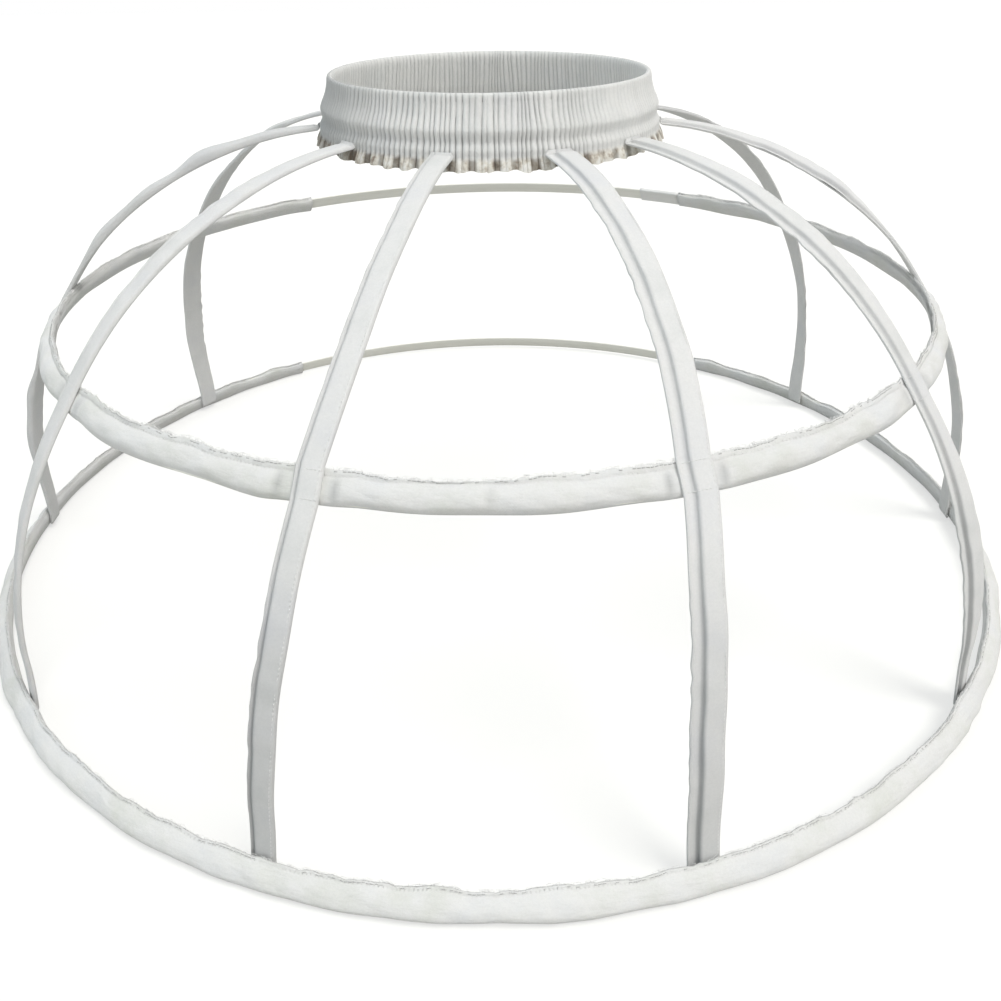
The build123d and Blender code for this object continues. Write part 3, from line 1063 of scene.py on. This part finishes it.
def waistband():
    """The gathered band: uneven pleats, a padded ridge, a groove, and a ruffled frill below."""
    rng = np.random.default_rng(band_seed)
    line = band_section()
    radius = line[:, :1]
    height = line[:, 1:]
    inner = np.arange(band_rows)[:, None] > np.argmax(line[:, 1])
    outer = np.where(inner, 0.0, 1.0)

    # The gathers round the band
    widths = 1 + gather_width_spread * rng.uniform(-1, 1, gather_count)
    shares = widths / widths.sum()
    starts = np.concatenate([[0], np.cumsum(shares)[:-1]])
    azimuth = 360 * (starts[:, None] + gather_shape * shares[:, None]).ravel()[None, :]
    around = np.radians(azimuth) * seam_radius
    pleat = np.tile(np.sin(pi * gather_shape) ** 0.5, gather_count)[None, :]
    strength = np.repeat(rng.uniform(0.65, 1.15, gather_count), len(gather_shape))[None, :]

    # The parts of the band
    frill = 1 - ease(height, band_seam_z - frill_height, band_seam_z)
    loose = 1 - ease(height, band_seam_z - 0.0022, band_seam_z)
    lower_panel = 1 - ease(height, groove_z - 0.002, groove_z + 0.003)
    rim = ease(height, waist_height - 0.006, waist_height)
    smooth = plateau(azimuth, *smooth_azimuths)

    # Waves, each between a shortest and a longest length
    ruffle_wave = waist_round / ruffle_count
    ruffle = ripple(rng, ruffle_wave / 1.5, ruffle_wave / 0.7)
    drop = ripple(rng, 0.014, 0.045)
    slant = ripple(rng, 0.02, 0.07)

    lobe = np.clip(ruffle(around), -1.2, 1.0)
    depth = gather_depth * (1 - 0.85 * frill + 0.15 * lower_panel - 0.6 * rim)
    push = -depth * (1 - 0.72 * smooth) * (1 - pleat) * strength * np.where(inner, -0.6, 1.0)
    push = push + frill * ruffle_depth * (0.3 + 0.7 * lobe)
    level = height + frill * (frill_drop * drop(around) - ruffle_drop * lobe)
    slanted = slant(around + 0.3 * height) * ease(height, band_seam_z, waist_height)
    turn = azimuth + degrees(gather_slant / seam_radius) * slanted
    surface = polar(turn, radius + push, level)
    width = float(run_length(line)[-1])
    length = waist_round * band_fullness
    piece = grid("waistband_cloth", surface, band_cloth, (width, length), wrap_columns=True)

    # Painted shade between the pleats, between the frill's ruffles, on the lower panel, in the
    # groove and on one side
    valley = (1 - pleat) ** 1.3 * np.clip(strength, 0, 1) * np.where(inner, 0.45, 0.62)
    valley = valley * (1 - 0.8 * smooth) * (1 - 0.4 * rim) * (1 - 0.5 * loose)
    valley = valley * (1 - 0.55 * outer * bell(height - ridge_z + 0.001, 0.004))
    panel = 0.06 * lower_panel * (1 - frill)
    folds = 0.62 * loose * ease(-lobe, -0.1, 1.0)
    groove = 0.03 * outer * bell(height - groove_z, 0.0028)
    # Painted shade on the band's left side
    painted_side_shade = 0.5 * outer * plateau(azimuth, *shaded_azimuths)
    paint_shade(piece, valley + panel + folds + groove + painted_side_shade)
    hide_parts("waistband_casing")


# The cage; its elastic keeps its modelled shape

for hoop in hoops:
    casing(hoop)
for hoop in hoops:
    hoop_bone(hoop)
    hoop_joiner(hoop)
for seed, place in enumerate(rib_azimuths, first_rib_seed):
    rib = Rib(place, seed)
    rib_tape(rib)
    rib_bone(rib)
    rib_stitches(rib)
waistband()
elastic = frame["nodes"]["waist_elastic"]
elastic.data.materials.clear()
elastic.data.materials.append(thread)


# Camera, light and ground


def camera():
    """The camera solved from the photo."""
    data = bpy.data.cameras.new("camera")
    data.sensor_width = sensor_width_mm
    data.lens = sensor_width_mm * focal_pixels / picture_pixels
    data.shift_x = principal_shift_pixels / picture_pixels
    eye = bpy.data.objects.new("camera", data)
    bpy.context.scene.collection.objects.link(eye)
    turn = Matrix.Rotation(radians(camera_azimuth), 4, "Z")
    tilt = Matrix.Rotation(radians(90 - camera_pitch), 4, "X")
    roll = Matrix.Rotation(radians(camera_roll), 4, "Z")
    place = polar(camera_azimuth, camera_distance, camera_height)
    eye.matrix_world = Matrix.Translation(place.tolist()) @ turn @ tilt @ roll
    bpy.context.scene.camera = eye


def sun(name, azimuth, elevation, strength, colour, spread):
    """Even light from one direction, as soft as its spread is wide."""
    data = bpy.data.lights.new(name, "SUN")
    data.energy = strength
    data.color = colour
    data.angle = radians(spread)
    light = bpy.data.objects.new(name, data)
    aim = -Vector(polar(azimuth, cos(radians(elevation)), sin(radians(elevation))).tolist())
    light.rotation_euler = aim.to_track_quat("-Z", "Y").to_euler()
    bpy.context.scene.collection.objects.link(light)


def see_white(tree):
    """A share that is 1 for what the camera sees directly, in gloss or through glass."""
    path = tree.nodes.new("ShaderNodeLightPath")
    total = path.outputs["Is Camera Ray"]
    for ray in ("Is Glossy Ray", "Is Transmission Ray"):
        joined = tree.nodes.new("ShaderNodeMath")
        joined.operation = "MAXIMUM"
        tree.links.new(total, joined.inputs[0])
        tree.links.new(path.outputs[ray], joined.inputs[1])
        total = joined.outputs[0]
    return total


def world():
    """White where it is seen, and dimmer as a light."""
    sky = bpy.data.worlds.new("studio")
    sky.use_nodes = True
    bpy.context.scene.world = sky
    tree = sky.node_tree
    background = tree.nodes["Background"]
    level = tree.nodes.new("ShaderNodeMapRange")
    level.inputs["To Min"].default_value = ambient_light
    level.inputs["To Max"].default_value = 1.0
    tree.links.new(see_white(tree), level.inputs["Value"])
    tree.links.new(level.outputs["Result"], background.inputs["Strength"])
    background.inputs["Color"].default_value = (1, 1, 1, 1)


def floor():
    """A pale ground that glows to white where it is seen, just under the hem."""
    span = floor_half_span
    corners = [(-span, -span), (span, -span), (span, span), (-span, span)]
    mesh = bpy.data.meshes.new("floor")
    mesh.from_pydata([(*corner, -floor_drop) for corner in corners], [], [(0, 1, 2, 3)])
    ground = bpy.data.objects.new("floor", mesh)
    bpy.context.scene.collection.objects.link(ground)
    shader = Shader("pale_floor")
    shader.set(
        Base_Color=floor_colour,
        Roughness=0.9,
        Specular_IOR_Level=0.1,
        Emission_Color=(1, 1, 1, 1),
        Emission_Strength=shader.math("MULTIPLY", see_white(shader.tree), floor_glow),
    )
    mesh.materials.append(shader.material)


camera()
world()
floor()
for name, values in suns.items():
    sun(name, *values)
bpy.context.scene.view_settings.view_transform = "Standard"
